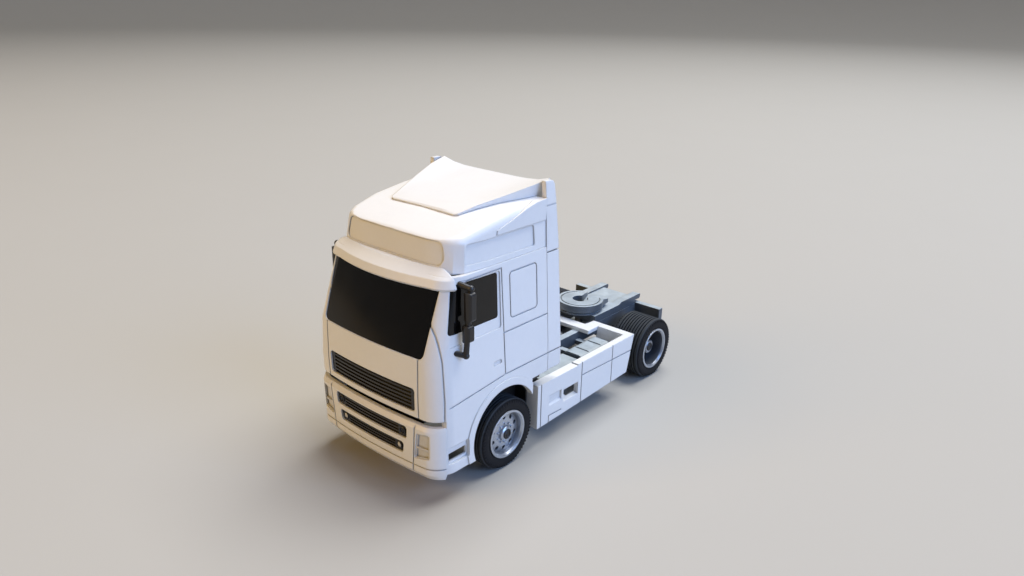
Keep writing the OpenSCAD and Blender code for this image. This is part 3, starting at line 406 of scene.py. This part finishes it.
# Grows a repeated shape with Geometry Nodes and keeps it as a plain mesh on its body
def growPiece(name, sizes, build, finish, body):
    tree = bpy.data.node_groups.new(name, "GeometryNodeTree")
    tree.interface.new_socket("Geometry", in_out="OUTPUT", socket_type="NodeSocketGeometry")
    kinds = {int: "NodeSocketInt", float: "NodeSocketFloat", tuple: "NodeSocketVector"}
    keys = {}
    for label, value in sizes.items():
        socket = tree.interface.new_socket(label, in_out="INPUT", socket_type=kinds[type(value)])
        keys[label] = socket.identifier
    bench = Bench(tree)
    inlet = tree.nodes.new("NodeGroupInput")
    shape = build(bench, {label: Wire(bench, inlet.outputs[label]) for label in sizes})
    whole = bench.node("GeometryNodeRealizeInstances", None, {0: shape})
    painted = bench.node("GeometryNodeSetMaterial", None, {"Geometry": whole, "Material": finish})
    bench.node("NodeGroupOutput", None, {0: painted})
    carrier = bpy.data.objects.new(name + "Carrier", bpy.data.meshes.new(name + "Seed"))
    bpy.context.collection.objects.link(carrier)
    grow = carrier.modifiers.new("grow", "NODES")
    grow.node_group = tree
    for label, value in sizes.items():
        grow[keys[label]] = value
    ready = carrier.evaluated_get(bpy.context.evaluated_depsgraph_get())
    mesh = bpy.data.meshes.new_from_object(ready)
    carrier.modifiers.remove(grow)
    bpy.data.objects.remove(carrier)
    addPiece(name, mesh, body, finish)


# Copies of a shape round a ring, each turned to face outwards
def ringOf(bench, shape, count, ring):
    circle = bench.node("GeometryNodeMeshCircle", None, {"Vertices": count, "Radius": ring})
    angle = bench.node("GeometryNodeInputIndex") * math.tau / count
    turn = bench.node("ShaderNodeCombineXYZ", None, {2: angle})
    return bench.node("GeometryNodeInstanceOnPoints", None,
                      {"Points": circle, "Instance": shape, "Rotation": turn})


# The same ring on the left and the right wheel, at a distance from the middle plane
def onBothWheels(bench, ring, x, axle):
    placed = []
    for side in (1, -1):
        at = bench.node("ShaderNodeVectorMath", {"operation": "ADD"},
                        {0: axle, 1: bench.node("ShaderNodeCombineXYZ", None, {0: x * side})})
        turn = (0, side * math.pi / 2, 0)
        placed.append(bench.node("GeometryNodeTransform", None,
                                 {"Geometry": ring, "Translation": at, "Rotation": turn}))
    return placed


def nutRing(bench, given):
    nut = bench.node("GeometryNodeMeshCone", None,
                     {"Vertices": 6, "Radius Top": given["tip"], "Radius Bottom": given["foot"],
                      "Depth": given["height"]})
    ring = ringOf(bench, nut, given["count"], given["ring"])
    rows = onBothWheels(bench, ring, given["seat"], given["axle"])
    return bench.node("GeometryNodeJoinGeometry", None, {0: rows})


def shoulderLugs(bench, given):
    block = bench.node("GeometryNodeMeshCube", None, {"Size": given["block"]})
    ring = ringOf(bench, block, given["count"], given["ring"])
    rows = onBothWheels(bench, ring, given["outer"], given["axle"])
    rows += onBothWheels(bench, ring, given["inner"], given["axle"])
    return bench.node("GeometryNodeJoinGeometry", None, {0: rows})


lugLook = {"count": 60, "block": (0.9, 0.5, 0.8), "below": 0.88, "inset": 0.46}
nutLook = {"count": 10, "foot": 0.4, "tip": 0.3, "height": 0.5, "sunk": 0.1, "seatDeg": 18}
wheels = {
    "front": {"axle": frontAxle, "body": "front_wheels", "nutRing": 2.85, "rubber": "tyre_front"},
    "rear": {"axle": rearAxle, "body": "rear_wheels", "nutRing": 3.15, "rubber": "tyre_rear"},
}
for name, wheel in wheels.items():
    axle = wheel["axle"]
    low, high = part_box(name + "_tyre_left")
    lugSizes = {"count": lugLook["count"], "block": tuple(v * mm for v in lugLook["block"]),
                "ring": tyreR - lugLook["below"] * mm, "outer": high[0] - lugLook["inset"] * mm,
                "inner": low[0] + lugLook["inset"] * mm, "axle": tuple(axle)}
    growPiece(name + "Lugs", lugSizes, shoulderLugs, finishes[wheel["rubber"]], wheel["body"])
    ring = wheel["nutRing"] * mm
    spot = math.radians(nutLook["seatDeg"])  # the rim's face is measured here
    seat = seatX(name + "_rim_left", axle.y + ring * math.cos(spot), axle.z + ring * math.sin(spot))
    nutSizes = {"count": nutLook["count"], "foot": nutLook["foot"] * mm, "tip": nutLook["tip"] * mm,
                "height": nutLook["height"] * mm, "ring": ring, "seat": seat - nutLook["sunk"] * mm,
                "axle": tuple(axle)}
    growPiece(name + "Nuts", nutSizes, nutRing, finishes["rim_silver"], wheel["body"])
print("wheel nuts and tyre lugs grown")

turnedLook = {"steps": 32, "weld": 0.001, "sharpDeg": 40}


# A turned shape: rows of radius and height along an axis, closed at both ends
def turned(rows, at, axis, look):
    steps = look["steps"]
    angles = [k * math.tau / steps for k in range(steps)]
    bm = bmesh.new()
    rings = []
    for radius, height in rows:
        r = radius * mm
        turns = angles if radius else angles[:1]  # a row of no radius is one point
        rings.append([bm.verts.new((r * math.cos(a), r * math.sin(a), height * mm)) for a in turns])
    for a, b in zip(rings, rings[1:]):
        for k in range(steps):
            n = (k + 1) % steps
            corners = [a[k % len(a)], a[n % len(a)], b[n % len(b)], b[k % len(b)]]
            bm.faces.new(list(dict.fromkeys(corners))).smooth = True
    bmesh.ops.remove_doubles(bm, verts=bm.verts, dist=look["weld"] * mm)
    bmesh.ops.recalc_face_normals(bm, faces=bm.faces)
    turn = Vector((0, 0, 1)).rotation_difference(Vector(axis)).to_matrix().to_4x4()
    bmesh.ops.transform(bm, matrix=Matrix.Translation(at) @ turn, verts=bm.verts)
    return bm


# Several turned shapes as one piece
def addTurned(name, rows, places, axisOf, body, slot):
    whole = bmesh.new()
    for at in places:
        one = turned(rows, at, axisOf(at), turnedLook)
        spare = bpy.data.meshes.new("spare")
        one.to_mesh(spare)
        one.free()
        whole.from_mesh(spare)
        bpy.data.meshes.remove(spare)
    for edge in whole.edges:
        edge.smooth = edge.calc_face_angle(0) < math.radians(turnedLook["sharpDeg"])
    mesh = bpy.data.meshes.new(name)
    whole.to_mesh(mesh)
    whole.free()
    addPiece(name, mesh, body, finishes[slot])


def outwards(at):
    return (1 if at.x > 0 else -1, 0, 0)


def forwards(at):
    return (0, -1, 0)


# Hub caps: rows of radius and height
hubLook = {"rows": [(0, -0.1), (1.5, -0.1), (1.5, 0.15), (1.38, 0.27), (1.2, 0.3), (1.08, 0.22), (1.02, 0.04),
                    (0.62, 0.05), (0.5, 0.16), (0.22, 0.22), (0, 0.23)]}
for name, wheel in wheels.items():
    axle = wheel["axle"]
    seat = seatX(name + "_rim_left", axle.y, axle.z)
    spots = [Vector((side * seat, axle.y, axle.z)) for side in (1, -1)]
    addTurned(name + "HubCaps", hubLook["rows"], spots, outwards, wheel["body"], "trim_black")

# Small round lamps at the ends of the bumper's two slots: distance from the middle, height, name, slot
slotLamps = {"spots": [(12.5, 19.2, "upperSlotLamps", "glazing"),
                       (11.0, 14.4, "lowerSlotLamps", "lamp_clear")],
             "lens": [(0, -0.2), (0.74, -0.2), (0.74, 0.1), (0.5, 0.26), (0, 0.34)],
             "ring": [(0.74, -0.2), (1.15, -0.2), (1.15, 0.26), (1.02, 0.4), (0.86, 0.38), (0.74, 0.2),
                      (0.74, -0.2)]}
bumperBody = nodeBody["bumper"]
lampSpots = []
for x, z, name, slot in slotLamps["spots"]:
    places = [(side * x * mm, z * mm) for side in (1, -1)]
    pair = [Vector((across, seatFront("lower_grille", across, up), up)) for across, up in places]
    addTurned(name, slotLamps["lens"], pair, forwards, bumperBody, slot)
    lampSpots += pair
addTurned("slotLampRings", slotLamps["ring"], lampSpots, forwards, bumperBody, "trim_black")
print("hub caps and slot lamps turned")


# Keeps a closed shape as a dark piece with its faces outwards, for the dark sheets that stand for shade
def addDark(name, bm, body):
    bmesh.ops.recalc_face_normals(bm, faces=bm.faces)
    mesh = bpy.data.meshes.new(name)
    bm.to_mesh(mesh)
    bm.free()
    addPiece(name, mesh, body, finishes["trim_black"])


# Dark sheet behind the gap between the bumper and the cab front, painted shade for the gap
gapShadeLook = {"half": 15.5, "low": 19.8, "high": 26.6, "front": -55.6, "bow": 0.9, "thick": 0.5, "steps": 16}


def makeGapShade(look):
    bm = bmesh.new()
    rows = []
    for k in range(look["steps"] + 1):
        u = 2 * k / look["steps"] - 1
        front = look["front"] + look["bow"] * u * u
        back = front + look["thick"]
        ring = [(front, look["low"]), (back, look["low"]), (back, look["high"]), (front, look["high"])]
        rows.append([bm.verts.new((look["half"] * u * mm, y * mm, z * mm)) for y, z in ring])
    for a, b in zip(rows, rows[1:]):
        for k in range(4):
            n = (k + 1) % 4
            bm.faces.new((a[k], a[n], b[n], b[k]))
    bm.faces.new(rows[0])
    bm.faces.new(rows[-1])
    addDark("frontGapShade", bm, bumperBody)


makeGapShade(gapShadeLook)

# Dark sheets in the front wheel houses, painted shade: one inside each tyre, with a return behind the tyre
houseShadeLook = {"front": -45.4, "rear": -19.6, "low": 12.6, "high": 22.4, "clear": 0.7, "thick": 0.5,
             "reach": 4.0}


def makeHouseShade(look):
    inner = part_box("front_tyre_left")[0][0] / mm - look["clear"]
    outer = inner + look["reach"]
    back = inner - look["thick"]
    step = look["rear"] - look["thick"]
    plan = [(back, look["front"]), (inner, look["front"]), (inner, step), (outer, step),
            (outer, look["rear"]), (back, look["rear"])]
    bm = bmesh.new()
    for side in (1, -1):
        low, high = [[bm.verts.new((side * x * mm, y * mm, z * mm)) for x, y in plan]
                     for z in (look["low"], look["high"])]
        bm.faces.new(low)
        bm.faces.new(high)
        for k in range(len(plan)):
            n = (k + 1) % len(plan)
            bm.faces.new((low[k], low[n], high[n], high[k]))
    addDark("wheelHouseShade", bm, nodeBody["cab_tub"])


makeHouseShade(houseShadeLook)
print("shadeSheets set")

# Plain pale floor that curves up into a round wall, far from the model on every side, in metres
stageSetup = {"flat": 2.1, "bend": 1.3, "top": 3.8, "flatSteps": 6, "bendSteps": 16, "steps": 96,
              "tone": (0.4, 0.39, 0.365), "cloudTone": 0.98, "cloudSize": 60}


def makeFloor(setup):
    flat, bend, steps = setup["flat"], setup["bend"], setup["steps"]
    line = [(flat * k / setup["flatSteps"], 0.0) for k in range(1, setup["flatSteps"] + 1)]
    for k in range(1, setup["bendSteps"] + 1):
        a = math.radians(90 * k / setup["bendSteps"])
        line.append((flat + bend * math.sin(a), bend * (1 - math.cos(a))))
    line.append((flat + bend, setup["top"]))
    bm = bmesh.new()
    middle = bm.verts.new((0, 0, 0))
    turns = [math.tau * k / steps for k in range(steps)]
    rings = [[bm.verts.new((r * math.cos(t), r * math.sin(t), z)) for t in turns] for r, z in line]
    for k in range(steps):
        n = (k + 1) % steps
        bm.faces.new((middle, rings[0][k], rings[0][n])).smooth = True
        for low, high in zip(rings, rings[1:]):
            bm.faces.new((low[k], high[k], high[n], low[n])).smooth = True
    mesh = bpy.data.meshes.new("floor")
    bm.to_mesh(mesh)
    bm.free()
    floor = bpy.data.objects.new("floor", mesh)
    material, bench, place = startFinish("paleFloor")
    cloud = bench.noise(place, setup["cloudSize"], 3)
    base = bench.mix(cloud, rgb(setup["tone"]), rgb(setup["tone"], setup["cloudTone"]))
    endFinish(bench, {"Base Color": base, "Roughness": 0.8, "Specular IOR Level": 0.2})
    mesh.materials.append(material)
    bpy.context.collection.objects.link(floor)


makeFloor(stageSetup)

# Soft boxes: place, aim and size in metres, power and colour
lights = {
    "topBox": {"at": (0.1, 0.75, 1.8), "aim": (0, 0, 0.04), "size": 1.4, "watts": 52.0, "colour": (1, 1, 1)},
    "sideBox": {"at": (1.6, 0.15, 0.75), "aim": (0, 0, 0.04), "size": 1.2, "watts": 24.0,
                "colour": (0.31, 0.52, 1)},
    "frontBox": {"at": (-0.6, -1.5, 1.0), "aim": (0, -0.02, 0.04), "size": 0.9, "watts": 15.0,
                 "colour": (1, 0.58, 0.1)},
}
roomLight = {"colour": (0.95, 0.97, 1.0), "strength": 0.2}


def hangLights(setup, room):
    for name, box in setup.items():
        data = bpy.data.lights.new(name, "AREA")
        data.shape = "SQUARE"
        data.size = box["size"]
        data.energy = box["watts"]
        data.color = box["colour"]
        lamp = bpy.data.objects.new(name, data)
        at = Vector(box["at"])
        turn = (at - Vector(box["aim"])).to_track_quat("Z", "Y").to_matrix().to_4x4()
        lamp.matrix_world = Matrix.Translation(at) @ turn
        bpy.context.collection.objects.link(lamp)
    world = bpy.data.worlds.new("room")
    world.use_nodes = True
    back = world.node_tree.nodes["Background"]
    back.inputs[0].default_value = rgb(room["colour"])
    back.inputs[1].default_value = room["strength"]
    bpy.context.scene.world = world
    bpy.context.scene.view_settings.view_transform = "Standard"


hangLights(lights, roomLight)
print("floor and lights set")
